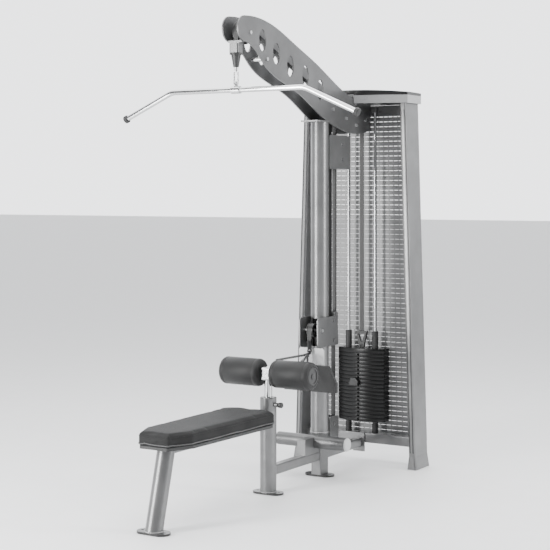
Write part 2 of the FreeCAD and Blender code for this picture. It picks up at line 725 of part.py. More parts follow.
def belt_clamp():
    """V-shaped yoke on the stem's top that grips the stack belt."""
    low, high = head_z() + 26, head_z() + 122
    y0, depth = ROD_Y - 8, 16
    outer = [Vector(-13, y0, low), Vector(13, y0, low), Vector(34, y0, high - 8),
             Vector(34, y0, high), Vector(-34, y0, high), Vector(-34, y0, high - 8)]
    window = [Vector(-3, y0 - 1, low + 34), Vector(3, y0 - 1, low + 34),
              Vector(20, y0 - 1, high - 18), Vector(-20, y0 - 1, high - 18)]
    yoke = prism(outer, Vector(0, depth, 0)).cut(prism(window, Vector(0, depth + 2, 0)))
    return yoke.cut(rod((0, ROD_Y, low - 5), (0, ROD_Y, head_z() + 44), STEM_R))


def selector_pin():
    """Round pin with a flat tapered pull handle."""
    mid = STACK_BOTTOM + LOWER_COUNT * PLATE_PITCH + PLATE_T / 2
    shank = rod((0, 430, mid), (0, ROD_Y + STEM_R, mid), SELECT_PIN_R)
    grip = [Vector(-46, 414, mid - 20), Vector(8, 414, mid - 20), Vector(10, 414, mid + 4),
            Vector(-4, 414, mid + 20), Vector(-34, 414, mid + 20)]
    return shank.fuse(prism(grip, Vector(0, 16, 0))).removeSplitter()


# ---------------------------------------------------------------- belts
def lat_belt():
    """Fixed stretches of the lat belt: arm tip to block, then block to stack."""
    first = belt([(HANG_Y, TIP[1] - 5, 0, 0), TIP + (-1,), COLUMN_TOP_WHEEL + (-1,),
                  (COLUMN_TOP_WHEEL[0] + COLUMN_TOP_WHEEL[2], RUN_SPLIT_Z, 0, 0)])
    second = belt([(STACK_FRONT[0] - STACK_FRONT[2], RUN_SPLIT_Z, 0, 0), STACK_FRONT + (-1,),
                   STACK_REAR + (-1,), (ROD_Y, RUN_SPLIT_Z, 0, 0)])
    return [first, second]


def lat_belt_drop():
    """End of the lat belt, from the tip pulley down into the stopper."""
    return belt([(HANG_Y, TIP[1] - 5, 0, 0), (HANG_Y, 2211.0, 0, 0)])


def block_belt():
    """The lat belt's two runs down to the floating block, round its pulley."""
    y, _, radius = BLOCK
    return belt([(y - radius, RUN_SPLIT_Z, 0, 0), BLOCK + (1,), (y + radius, RUN_SPLIT_Z, 0, 0)])


def stack_belt():
    return belt([(ROD_Y, RUN_SPLIT_Z, 0, 0), (ROD_Y, head_z() + 122, 0, 0)])


def row_belt():
    """Row belt from the floating block's tail run, round the bottom pulley, up inside the
    column and over the row pulley."""
    tail_y = BOTTOM[0] + BOTTOM[2]
    return belt([(tail_y, BOTTOM[1] + 60, 0, 0), BOTTOM + (-1,), ROW + (1,),
                 (HOOK_Y, ROW[1] - 5, 0, 0)])


def row_belt_drop():
    """End of the row belt, from the row pulley down into its hook."""
    return belt([(HOOK_Y, ROW[1] - 5, 0, 0), (HOOK_Y, 736, 0, 0)])


def row_belt_tail():
    tail_y = BOTTOM[0] + BOTTOM[2]
    return belt([(tail_y, BLOCK_TAIL_Z, 0, 0), (tail_y, BOTTOM[1] + 60, 0, 0)])


# ---------------------------------------------------------------- floating block and row gear
def floating_block():
    """Two cheeks, the pulley's pin and a tail block that clamps the row belt."""
    y, z, _ = BLOCK
    shape = box((-24, 24), (y - 24, y + 28), (BLOCK_TAIL_Z, BLOCK_TAIL_Z + 60))
    shape = rounded(shape, 8, Vector(1, 0, 0))
    for side in (-1, 1):
        low, high = sorted((side * 19, side * 24))
        cheek = box((low, high), (y - 24, y + 24), (BLOCK_TAIL_Z + 40, z + 24))
        shape = shape.fuse(rounded(cheek, 16, Vector(1, 0, 0)))
    pin = cross_bolt(y, z, 24)
    return shape.fuse(pin).removeSplitter()


def row_pulley_brackets():
    """Side plates that clamp the column and carry the row pulley in front of it."""
    plate = box((52, 58), (-122, 86), (700, 858))
    plate = rounded(plate, 16, Vector(1, 0, 0))
    plate = plate.cut(rod((50, ROW[0], ROW[1]), (60, ROW[0], ROW[1]), PIN_R))
    pad = box((44, 52), (-14, 14), (720, 840))
    pad = pad.cut(rod((0, 0, 700), (0, 0, 860), COLUMN_R))
    plate = plate.fuse(pad)
    for z in (728, 832):
        plate = plate.fuse(hex_head(58, 52, z, 1))
    return both_sides(plate)


def footplate_bracket():
    """Folded plate and two arms that hold the foot rests on the column's front."""
    face = box((-76, 76), (-92, -84), (470, 696))
    face = rounded(face, 16, Vector(0, 1, 0))
    for side in (-1, 1):
        low, high = sorted((side * 16, side * 24))
        face = face.fuse(box((low, high), (-85, -30), (520, 660)))
    return face.cut(rod((0, 0, 400), (0, 0, 720), COLUMN_R)).removeSplitter()


def foot_rests():
    """Rubber-faced treads either side of the bracket, flared towards the bottom."""
    corners = [Vector(6, -110, 466), Vector(162, -110, 466), Vector(162, -110, 516),
               Vector(114, -110, 606), Vector(6, -110, 606)]
    tread = Part.Face(rounded_outline(corners, 8)).extrude(Vector(0, 17.5, 0))
    return both_sides(tread)


def row_hook():
    """Stopper and closed eye on the row belt's end."""
    body = Part.makeCone(11, 15, 46, Vector(0, HOOK_Y, 690), Vector(0, 0, 1))
    eye = Part.makeTorus(10, 4, Vector(0, HOOK_Y, HANDLE_EYE_Z), Vector(0, 1, 0))
    return body.fuse(eye)


def handle_point(x, along, lift):
    """Point on the row handle: distance along its pull line, and lift square to that line."""
    drop = math.radians(HANDLE_DROP_DEG)
    y = HOOK_Y - along * math.cos(drop) - lift * math.sin(drop)
    z = HANDLE_EYE_Z - 10 - along * math.sin(drop) + lift * math.cos(drop)
    return (x, y, z)


def row_handle_frame():
    """Chrome frame: a ring through the hook's eye and two hoops that spread to the grips."""
    shape = rod(handle_point(0, 26, -8), handle_point(0, 26, 8), 11)
    ring_centre = Vector(*handle_point(0, 0, 0))
    shape = shape.fuse(Part.makeTorus(9, 3.5, ring_centre, Vector(1, 0, 0)))
    shape = shape.fuse(rod(handle_point(0, 10, 0), handle_point(0, 26, 0), 4.5))
    for side in (-1, 1):
        for lift in (-1, 1):
            corner = handle_point(side * HANDLE_HALF_X, HANDLE_REACH, lift * (GRIP_HALF + 8))
            shape = shape.fuse(rod(handle_point(0, 26, lift * 4), corner, HANDLE_ROD_R))
            shape = shape.fuse(Part.makeSphere(HANDLE_ROD_R, Vector(*corner)))
        low = handle_point(side * HANDLE_HALF_X, HANDLE_REACH, -GRIP_HALF - 8)
        high = handle_point(side * HANDLE_HALF_X, HANDLE_REACH, GRIP_HALF + 8)
        shape = shape.fuse(rod(low, high, HANDLE_ROD_R))
    return shape


def row_handle_grips():
    """Moulded sleeves on the two grip bars, notched where the hoops leave the corners."""
    hoops = row_handle_frame()
    grips = []
    for side in (-1, 1):
        low = handle_point(side * HANDLE_HALF_X, HANDLE_REACH, -GRIP_HALF)
        high = handle_point(side * HANDLE_HALF_X, HANDLE_REACH, GRIP_HALF)
        grips.append(pipe(low, high, GRIP_R, HANDLE_ROD_R).cut(hoops))
    return grips


# ---------------------------------------------------------------- lat bar and its link
def belt_stopper():
    """Flanged tapered stopper on the lat belt's end."""
    cone = Part.makeCone(14, 25, 62, Vector(0, HANG_Y, 2142), Vector(0, 0, 1))
    flange = rod((0, HANG_Y, 2203), (0, HANG_Y, 2211), 32)
    bore = rod((0, HANG_Y, 2140), (0, HANG_Y, 2164), 6 + RUNNING_FIT)
    return cone.fuse(flange).cut(bore).removeSplitter()


def snap_hook():
    """Closed swivel hook: a spigot in the stopper and an obround ring below it."""
    y, r, rod_r = HANG_Y, 11.0, 4.0
    top, low = 2112.0, 2066.0
    spigot = rod((0, y, 2118), (0, y, 2163), 6)
    barrel = rod((0, y, 2121), (0, y, 2141), 10)
    path = Part.Wire([
        Part.LineSegment(Vector(r, y, low), Vector(r, y, top)).toShape(),
        Part.Arc(Vector(r, y, top), Vector(0, y, top + r), Vector(-r, y, top)).toShape(),
        Part.LineSegment(Vector(-r, y, top), Vector(-r, y, low)).toShape(),
        Part.Arc(Vector(-r, y, low), Vector(0, y, low - r), Vector(r, y, low)).toShape()])
    section = Part.Wire(Part.Circle(Vector(r, y, low), Vector(0, 0, 1), rod_r).toShape())
    ring = path.makePipeShell([section], True, False)
    return ring.fuse(barrel).fuse(spigot).removeSplitter()


def bar_path(half):
    """Lat bar's centre line: level middle and drooping ends, joined by arcs."""
    y = HANG_Y
    droop = math.atan2(BAR_Z - BAR_END_Z, half - BAR_BEND_X)
    reach = BAR_BEND_R * math.tan(droop / 2)
    edges = []
    ends = {}
    for side in (-1, 1):
        corner = Vector(side * BAR_BEND_X, y, BAR_Z)
        inner = corner - Vector(side * reach, 0, 0)
        outward = Vector(side * math.cos(droop), 0, -math.sin(droop))
        outer = corner + outward * reach
        centre = Vector(inner.x, y, BAR_Z - BAR_BEND_R)
        toward = corner - centre
        toward.normalize()
        middle = centre + toward * BAR_BEND_R
        tip = Vector(side * half, y, BAR_END_Z)
        ends[side] = (inner, middle, outer, tip)
    left, right = ends[-1], ends[1]
    edges.append(Part.LineSegment(left[3], left[2]).toShape())
    edges.append(Part.Arc(left[2], left[1], left[0]).toShape())
    edges.append(Part.LineSegment(left[0], right[0]).toShape())
    edges.append(Part.Arc(right[0], right[1], right[2]).toShape())
    edges.append(Part.LineSegment(right[2], right[3]).toShape())
    return Part.Wire(edges)


def lat_bar():
    """Bent bar with its centre sleeve and the eye that hangs in the hook."""
    path = bar_path(BAR_HALF)
    start = path.Edges[0]
    profile = Part.Circle(start.valueAt(start.FirstParameter),
                          start.tangentAt(start.FirstParameter), BAR_R)
    bar = path.makePipeShell([Part.Wire(profile.toShape())], True, False)
    sleeve = rod((-24, HANG_Y, BAR_Z), (24, HANG_Y, BAR_Z), 19)
    eye = box((-4, 4), (HANG_Y - 13, HANG_Y + 13), (BAR_Z, BAR_Z + 42))
    eye = rounded(eye, 10, Vector(1, 0, 0))
    hole = rod((-5, HANG_Y, BAR_Z + 28), (5, HANG_Y, BAR_Z + 28), 8)
    return bar.fuse(sleeve).fuse(eye).cut(hole).removeSplitter()


def bar_end_caps():
    """Rounded end knobs on the bar's tips."""
    caps = []
    droop = math.atan2(BAR_Z - BAR_END_Z, BAR_HALF - BAR_BEND_X)
    for side in (-1, 1):
        outward = Vector(side * math.cos(droop), 0, -math.sin(droop))
        tip = Vector(side * BAR_HALF, HANG_Y, BAR_END_Z)
        cap = Part.makeCylinder(20, 22, tip, outward)
        cap = cap.makeFillet(6, [e for e in cap.Edges if e.Curve.TypeId == "Part::GeomCircle"])
        caps.append(cap)
    return caps


# ---------------------------------------------------------------- every node of the machine
NODES = {
    "foot_plates": foot_plates,
    "main_column": main_column,
    "column_foot_stub": column_foot_stub,
    "bench_rail": bench_rail,
    "tower_rail": tower_rail,
    "foot_bar": foot_bar,
    "foot_bar_caps": foot_bar_caps,
    "rear_seat_post": rear_seat_post,
    "front_leg": front_leg,
    "seat_rail": seat_rail,
    "seat_board": seat_board,
    "seat_pad": seat_pad,
    "thigh_post": thigh_post,
    "roller_left": lambda: roller(-1),
    "roller_right": lambda: roller(1),
    "roller_end_caps": roller_end_caps,
    "height_pin": height_pin,
    "arm_plate_left": lambda: arm_plate(-1),
    "arm_plate_right": lambda: arm_plate(1),
    "cross_bolts": cross_bolts,
    "belt_stop_block": belt_stop_block,
    "column_side_plates": lambda: column_gussets() + row_pulley_brackets(),
    "tower_post_left": lambda: tower_post(-1),
    "tower_post_right": lambda: tower_post(1),
    "tower_base_beam": tower_base_beam,
    "tower_top_beam": tower_top_beam,
    "tower_cap": tower_cap,
    "rear_panel": rear_panel,
    "guide_rods": guide_rods,
    "stack_buffers": stack_buffers,
    "lower_plates": lower_plates,
    "lifted_plates": lifted_plates,
    "head_plate": head_plate,
    "rod_sleeves": rod_sleeves,
    "belt_clamp": belt_clamp,
    "selector_pin": selector_pin,
    "lat_belt": lat_belt,
    "lat_belt_drop": lat_belt_drop,
    "block_belt": block_belt,
    "stack_belt": stack_belt,
    "row_belt": row_belt,
    "row_belt_tail": row_belt_tail,
    "row_belt_drop": row_belt_drop,
    "tip_pulley": lambda: wheel(TIP),
    "column_pulley": lambda: wheel(COLUMN_TOP_WHEEL),
    "stack_front_pulley": lambda: wheel(STACK_FRONT),
    "stack_rear_pulley": lambda: wheel(STACK_REAR),
    "block_pulley": lambda: wheel(BLOCK),
    "row_pulley": lambda: wheel(ROW),
    "bottom_pulley": lambda: wheel(BOTTOM),
    "floating_block": floating_block,
    "footplate_bracket": footplate_bracket,
    "foot_rests": foot_rests,
    "row_hook": row_hook,
    "row_handle_frame": row_handle_frame,
    "row_handle_grips": row_handle_grips,
    "belt_stopper": belt_stopper,
    "snap_hook": snap_hook,
    "lat_bar": lat_bar,
    "bar_end_caps": bar_end_caps,
}


def main():
    os.makedirs("parts", exist_ok=True)
    for name, make in NODES.items():
        shape = make()
        if isinstance(shape, list):
            shape = Part.makeCompound(shape)
        if not shape.isValid():
            print("not valid:", name)
        shape.exportStep(f"parts/{name}.step")
        print(f"{name}: {len(shape.Solids)} solid(s), {shape.Volume / 1000:.1f} cm3")


main()
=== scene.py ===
import json
import math

import bmesh
import bpy
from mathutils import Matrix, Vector


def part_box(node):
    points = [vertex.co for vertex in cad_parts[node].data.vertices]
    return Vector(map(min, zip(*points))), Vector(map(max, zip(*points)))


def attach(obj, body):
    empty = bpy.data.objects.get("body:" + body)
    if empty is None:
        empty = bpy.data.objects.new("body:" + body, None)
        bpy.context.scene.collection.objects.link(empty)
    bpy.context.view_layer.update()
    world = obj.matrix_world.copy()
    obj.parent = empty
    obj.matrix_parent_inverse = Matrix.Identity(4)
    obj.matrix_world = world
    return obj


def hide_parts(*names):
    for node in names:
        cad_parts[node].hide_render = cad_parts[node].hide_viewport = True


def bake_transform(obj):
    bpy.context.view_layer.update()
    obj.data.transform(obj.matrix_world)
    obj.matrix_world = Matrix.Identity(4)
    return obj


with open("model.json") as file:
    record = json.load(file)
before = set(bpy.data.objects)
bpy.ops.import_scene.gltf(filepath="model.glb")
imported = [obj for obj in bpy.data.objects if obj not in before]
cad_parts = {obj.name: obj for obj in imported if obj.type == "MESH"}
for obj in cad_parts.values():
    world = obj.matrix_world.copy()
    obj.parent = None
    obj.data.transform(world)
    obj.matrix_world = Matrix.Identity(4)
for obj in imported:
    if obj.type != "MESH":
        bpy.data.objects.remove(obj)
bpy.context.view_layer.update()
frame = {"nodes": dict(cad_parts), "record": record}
NODES = frame["nodes"]


# ---------------------------------------------------------------- materials
def add(tree, kind, **inputs):
    """A shader node with its named sockets set."""
    node = tree.nodes.new(kind)
    for name, value in inputs.items():
        node.inputs[name.replace("_", " ")].default_value = value
    return node


def noise(tree, coords, scale, detail=4.0, stretch=(1, 1, 1)):
    mapping = add(tree, "ShaderNodeMapping")
    mapping.inputs["Scale"].default_value = stretch
    tree.links.new(coords, mapping.inputs["Vector"])
    texture = add(tree, "ShaderNodeTexNoise", Scale=scale, Detail=detail)
    tree.links.new(mapping.outputs["Vector"], texture.inputs["Vector"])
    return texture.outputs["Fac"]


def ramp(tree, value, low, high, start=0.3, end=0.7):
    """Maps a 0 to 1 value onto a range of plain numbers."""
    node = add(tree, "ShaderNodeMapRange")
    node.inputs["From Min"].default_value = start
    node.inputs["From Max"].default_value = end
    node.inputs["To Min"].default_value = low
    node.inputs["To Max"].default_value = high
    tree.links.new(value, node.inputs["Value"])
    return node.outputs["Result"]


def finish(name, dark, light, rough, metal=0.0, grain=400.0, bump=0.1, depth=0.0004,
           stretch=(1, 1, 1), coat=0.0, cells=False, gloss=0.5):
    """Material whose colour and roughness drift slowly and whose grain is a fine bump."""
    material = bpy.data.materials.new(name)
    material.use_nodes = True
    tree = material.node_tree
    shader = tree.nodes["Principled BSDF"]
    shader.inputs["Metallic"].default_value = metal
    shader.inputs["Specular IOR Level"].default_value = gloss
    shader.inputs["Coat Weight"].default_value = coat
    shader.inputs["Coat Roughness"].default_value = 0.15
    coords = add(tree, "ShaderNodeTexCoord").outputs["Object"]
    drift = noise(tree, coords, 9.0, 6.0)
    fine = noise(tree, coords, grain, 3.0, stretch)
    mix = add(tree, "ShaderNodeMix")
    mix.data_type = "RGBA"
    mix.inputs["A"].default_value = (*dark, 1)
    mix.inputs["B"].default_value = (*light, 1)
    tree.links.new(ramp(tree, drift, 0.0, 1.0), mix.inputs["Factor"])
    tree.links.new(mix.outputs["Result"], shader.inputs["Base Color"])
    tree.links.new(ramp(tree, fine, rough - 0.06, rough + 0.06), shader.inputs["Roughness"])
    height = fine
    if cells:
        leather = add(tree, "ShaderNodeTexVoronoi", Scale=grain)
        leather.feature = "DISTANCE_TO_EDGE"
        tree.links.new(coords, leather.inputs["Vector"])
        height = leather.outputs["Distance"]
    relief = add(tree, "ShaderNodeBump", Strength=bump, Distance=depth)
    tree.links.new(height, relief.inputs["Height"])
    tree.links.new(relief.outputs["Normal"], shader.inputs["Normal"])
    return material


def grey(value):
    return (value, value * 1.005, value * 1.01)


def two_tone(name, low_paint, high_paint, height):
    """Painted cap: one colour below a height in the machine's frame, another above it."""
    material = finish(name, low_paint, low_paint, 0.30, 0.45, 900, 0.06, coat=0.3)
    tree = material.node_tree
    shader = tree.nodes["Principled BSDF"]
    coords = add(tree, "ShaderNodeTexCoord").outputs["Object"]
    axes = add(tree, "ShaderNodeSeparateXYZ")
    tree.links.new(coords, axes.inputs["Vector"])
    above = ramp(tree, axes.outputs["Z"], 0.0, 1.0, height - 0.001, height + 0.001)
    mottle = noise(tree, coords, 14.0, 5.0)
    mix = add(tree, "ShaderNodeMix")
    mix.data_type = "RGBA"
    mix.inputs["B"].default_value = (*high_paint, 1)
    drift = add(tree, "ShaderNodeMix")
    drift.data_type = "RGBA"
    drift.inputs["A"].default_value = (*low_paint, 1)
    drift.inputs["B"].default_value = (*[c * 1.12 for c in low_paint], 1)
    tree.links.new(mottle, drift.inputs["Factor"])
    tree.links.new(above, mix.inputs["Factor"])
    tree.links.new(drift.outputs["Result"], mix.inputs["A"])
    tree.links.new(mix.outputs["Result"], shader.inputs["Base Color"])
    return material


SILVER = finish("silver_paint", grey(0.150), grey(0.190), 0.34, 0.70, 900, 0.08, coat=0.10)
LIGHT = finish("light_paint", grey(0.50), grey(0.58), 0.32, 0.35, 900, 0.06, coat=0.3)
ARM = finish("arm_paint", grey(0.110), grey(0.140), 0.36, 0.60, 900, 0.08, coat=0.10)
DARK = finish("dark_paint", grey(0.018), grey(0.028), 0.38, 0.4, 900, 0.08, coat=0.25)
PANEL = finish("panel_paint", grey(0.19), grey(0.23), 0.46, 0.3, 700, 0.08)
CHROME = finish("chrome", grey(0.50), grey(0.60), 0.10, 1.0, 60, 0.02, stretch=(1, 1, 8))
ZINC = finish("zinc", grey(0.50), grey(0.62), 0.30, 1.0, 500, 0.12)
IRON = finish("black_iron", grey(0.009), grey(0.016), 0.42, 0.2, 500, 0.25)
PLATES = finish("plate_paint", grey(0.006), grey(0.011), 0.34, 0.20, 420, 0.25, gloss=0.3)
RUBBER = finish("rubber", grey(0.016), grey(0.026), 0.62, 0.0, 700, 0.3)
PLASTIC = finish("black_plastic", grey(0.02), grey(0.03), 0.42, 0.0, 900, 0.2)
PULLEY = finish("pulley_nylon", grey(0.02), grey(0.032), 0.35, 0.0, 300, 0.1)
CAP = finish("light_plastic", grey(0.48), grey(0.54), 0.35, 0.0, 900, 0.1)
BOARD = finish("board", grey(0.020), grey(0.035), 0.6, 0.0, 40, 0.2, stretch=(12, 1, 12))
VINYL = finish("vinyl", grey(0.019), grey(0.026), 0.62, 0.0, 520, 0.45, 0.0006, cells=True,
               gloss=0.10)
FOAM = finish("roller_skin", grey(0.018), grey(0.024), 0.5, 0.0, 600, 0.4, 0.0005, cells=True,
              gloss=0.25)
PIPING = finish("piping", grey(0.045), grey(0.060), 0.5, 0.0, 900, 0.3)
BELT = finish("belt", grey(0.010), grey(0.018), 0.5, 0.0, 900, 0.35, stretch=(1, 1, 0.05))
WELD = finish("weld_bead", grey(0.30), grey(0.40), 0.36, 0.8, 260, 0.4)
TOWER_CAP = two_tone("tower_cap_paint", grey(0.34), grey(0.020), 2.0665)

BY_SLOT = {
    "silver_paint": SILVER, "arm_paint": ARM, "dark_paint": DARK, "panel_paint": PANEL,
    "chrome": CHROME, "zinc": ZINC, "black_iron": IRON, "vinyl": VINYL, "foam": FOAM,
    "rubber": RUBBER, "black_plastic": PLASTIC, "nylon": PULLEY, "light_plastic": CAP,
    "board": BOARD,
}
# nodes whose finish differs from their slot's; the foot bar's darker arm paint is painted shade,
# for the shadow that falls under it
OWN = {
    "tower_cap": TOWER_CAP, "footplate_bracket": LIGHT, "foot_bar": ARM,
    "lower_plates": PLATES, "lifted_plates": PLATES, "head_plate": PLATES,
    "lat_belt": BELT, "lat_belt_drop": BELT, "block_belt": BELT, "stack_belt": BELT,
    "row_belt": BELT, "row_belt_tail": BELT, "row_belt_drop": BELT,
}
for part in frame["record"]["subparts"]:
    name = part["node"]
    mesh = NODES[name].data
    mesh.materials.clear()
    mesh.materials.append(OWN.get(name, BY_SLOT[part["material_slot"]]))

# cast plates have broken edges, which part one plate from the next
for name in ("lower_plates", "lifted_plates", "head_plate"):
    weld = NODES[name].modifiers.new("weld", "WELD")
    weld.merge_threshold = 0.0001
    edge = NODES[name].modifiers.new("edge", "BEVEL")
    edge.width = 0.0026
    edge.segments = 2
    edge.limit_method = "ANGLE"
    edge.angle_limit = math.radians(50)


# ---------------------------------------------------------------- mesh helpers
def mesh_object(name, verts, faces, material, smooth=True):
    mesh = bpy.data.meshes.new(name)
    mesh.from_pydata(verts, [], faces)
    mesh.update()
    if smooth:
        mesh.polygons.foreach_set("use_smooth", [True] * len(mesh.polygons))
    obj = bpy.data.objects.new(name, mesh)
    bpy.context.scene.collection.objects.link(obj)
    mesh.materials.append(material)
    return obj


def lathe(name, profile, centre, material, steps=64):
    """Solid of revolution about an axis along X; profile is (x offset, radius) from end to end."""
    verts, faces = [], []
    for x, radius in profile:
        for i in range(steps):
            a = 2 * math.pi * i / steps
            verts.append((centre[0] + x, centre[1] + radius * math.cos(a),
                          centre[2] + radius * math.sin(a)))
    for ring in range(len(profile) - 1):
        for i in range(steps):
            j = (i + 1) % steps
            low, high = ring * steps, (ring + 1) * steps
            faces.append((low + i, high + i, high + j, low + j))
    faces.append(tuple(range(steps)))
    last = (len(profile) - 1) * steps
    faces.append(tuple(last + steps - 1 - i for i in range(steps)))
    obj = mesh_object(name, verts, faces, material)
    tidy = bmesh.new()
    tidy.from_mesh(obj.data)
    bmesh.ops.recalc_face_normals(tidy, faces=tidy.faces)
    tidy.to_mesh(obj.data)
    tidy.free()
    return obj


def ribbon(name, start, end, width, thickness, steps, material):
    """Flat belt between two points in the machine's centre plane, in many short lengths."""
    start, end = Vector(start), Vector(end)
    along = (end - start).normalized()
    across = Vector((1, 0, 0)) * width / 2
    out = along.cross(Vector((1, 0, 0))) * thickness / 2
    verts, faces = [], []
    for i in range(steps + 1):
        p = start.lerp(end, i / steps)
        for side, face in ((-1, -1), (1, -1), (1, 1), (-1, 1)):
            verts.append(p + across * side + out * face)
    for i in range(steps):
        for k in range(4):
            a, b = i * 4 + k, i * 4 + (k + 1) % 4
            faces.append((a, b, b + 4, a + 4))
    faces.append((3, 2, 1, 0))
    top = steps * 4
    faces.append((top, top + 1, top + 2, top + 3))
    return mesh_object(name, verts, faces, material, smooth=False)


# ---------------------------------------------------------------- seat pad
PAD_SHRINK = 0.975
LENGTH_SHARE = 0.2
HEIGHT_SHARE = 2
PAD_SWELL = 0.010
PAD_VOXEL = 0.006
PAD_PRESSURE = 4
CLOTH_FRAMES = 20
SEAT_MIDDLE_Y = -1.09


def sew_pad():
    """Inflated vinyl cushion from the pad's CAD solid, flat where it rests on its board."""
    low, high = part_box("seat_pad")
    obj = bpy.data.objects.new("seat_cushion", NODES["seat_pad"].data.copy())
    bpy.context.scene.collection.objects.link(obj)
    bpy.context.view_layer.objects.active = obj
    obj.select_set(True)
    remesh = obj.modifiers.new("remesh", "REMESH")
    remesh.mode = "VOXEL"
    remesh.voxel_size = PAD_VOXEL
    bpy.ops.object.modifier_apply(modifier=remesh.name)
    middle = (Vector(low) + Vector(high)) / 2
    for vertex in obj.data.vertices:
        vertex.co.x *= PAD_SHRINK
        vertex.co.y = middle.y + (vertex.co.y - middle.y) * (1 - (1 - PAD_SHRINK) * LENGTH_SHARE)
        vertex.co.z = low[2] + (vertex.co.z - low[2]) * (1 - (1 - PAD_SHRINK) * HEIGHT_SHARE)
    rest = [v.co.copy() for v in obj.data.vertices]
    puffed = rest
    cloth = obj.modifiers.new("cloth", "CLOTH")
    cloth.settings.use_pressure = True
    cloth.settings.uniform_pressure_force = PAD_PRESSURE
    cloth.settings.effector_weights.gravity = 0
    for number in range(1, CLOTH_FRAMES + 1):
        bpy.context.scene.frame_set(number)
    solved = obj.evaluated_get(bpy.context.evaluated_depsgraph_get())
    puffed = [v.co.copy() for v in solved.data.vertices]
    obj.modifiers.remove(cloth)
    bpy.context.scene.frame_set(1)
    for vertex, before, after in zip(obj.data.vertices, rest, puffed):
        move = after - before
        if move.length > PAD_SWELL:
            move = move.normalized() * PAD_SWELL
        spot = before + move
        spot.z = max(spot.z, low[2])
        vertex.co = spot
    obj.data.polygons.foreach_set("use_smooth", [True] * len(obj.data.polygons))
    smooth = obj.modifiers.new("smooth", "SUBSURF")
    smooth.levels = 1
    smooth.render_levels = 1
    obj.data.materials.clear()
    obj.data.materials.append(VINYL)
    obj.select_set(False)
    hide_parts("seat_pad")
    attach(obj, "frame")
    return obj


def seat_outline(spacing=0.008):
    """Points round the seat's plan, with rounded corners, a short step apart."""
    half, nose, clip, round_by = 0.163, 0.085, 0.062, 0.014
    front, rear = -1.525, -0.662
    right = [(half - clip, rear), (half, rear - clip * 0.8), (half - 0.016, front + clip * 2),
             (nose, front)]
    corners_2d = [Vector(p) for p in right + [(-x, y) for x, y in reversed(right)]]
    points = []
    for i, here in enumerate(corners_2d):
        before, after = corners_2d[i - 1], corners_2d[(i + 1) % len(corners_2d)]
        a = here + (before - here).normalized() * round_by
        b = here + (after - here).normalized() * round_by
        for t in (0.0, 0.25, 0.5, 0.75, 1.0):
            points.append((1 - t) ** 2 * a + 2 * t * (1 - t) * here + t ** 2 * b)
        end = after + (here - after).normalized() * round_by
        steps = int((end - b).length / spacing)
        points += [b.lerp(end, k / steps) for k in range(1, steps)]
    return points


def seat_seam(name, cushion, height, radius, material):
    """Sewn welt round the cushion, laid on its puffed surface at one height."""
    wider, longer, proud = 1.06, 1.02, 0.3
    shape = cushion.evaluated_get(bpy.context.evaluated_depsgraph_get())
    curve = bpy.data.curves.new(name, "CURVE")
    curve.dimensions = "3D"
    curve.bevel_depth = radius
    curve.bevel_resolution = 3
    outline = seat_outline()
    spline = curve.splines.new("POLY")
    spline.points.add(len(outline) - 1)
    for point, place in zip(spline.points, outline):
        outside = Vector((place.x * wider, SEAT_MIDDLE_Y + (place.y - SEAT_MIDDLE_Y) * longer,
                          height))
        _, spot, normal, _ = shape.closest_point_on_mesh(outside)
        point.co = (*(spot + normal * radius * proud), 1)
    spline.use_cyclic_u = True
    obj = bpy.data.objects.new(name, curve)
    bpy.context.scene.collection.objects.link(obj)
    curve.materials.append(material)
    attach(obj, "frame")


pad = sew_pad()
seat_seam("seat_welt_low", pad, 0.397, 0.0030, PIPING)
seat_seam("seat_welt_high", pad, 0.438, 0.0016, VINYL)


# ---------------------------------------------------------------- thigh rollers
def foam_roller(side, node):
    """Foam sleeve with soft shoulders and a stitched seam ring inside each end."""
    inner, outer, radius = 0.0325, 0.2655, 0.0705
    bore, shoulder, arcs = 0.0128, 0.022, 6
    seam_in, seam_half, seam_depth = 0.030, 0.003, 0.0016
    recess = 0.0085
    profile = [(inner, bore), (inner, radius - shoulder)]
    for i in range(1, arcs + 1):
        a = math.pi / 2 * i / arcs
        profile.append((inner + shoulder * (1 - math.cos(a)),
                        radius - shoulder + shoulder * math.sin(a)))
    for at in (inner + seam_in, outer - seam_in):
        profile += [(at - seam_half, radius), (at, radius - seam_depth), (at + seam_half, radius)]
    for i in range(arcs):
        a = math.pi / 2 * (1 - i / arcs)
        profile.append((outer - shoulder * (1 - math.cos(a)),
                        radius - shoulder + shoulder * math.sin(a)))
    profile += [(outer, 0.0475), (outer - 0.002, 0.047), (outer - recess, 0.0462),
                (outer - recess, bore)]
    profile = [(x * side, r) for x, r in profile]
    obj = lathe(node + "_foam", profile, (0, -0.53, 0.61), FOAM)
    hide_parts(node)
    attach(obj, node)


foam_roller(-1, "roller_left")
foam_roller(1, "roller_right")


# ---------------------------------------------------------------- perforated rear panel
POST_TOP = 2.022
POST_LEAN = 0.060


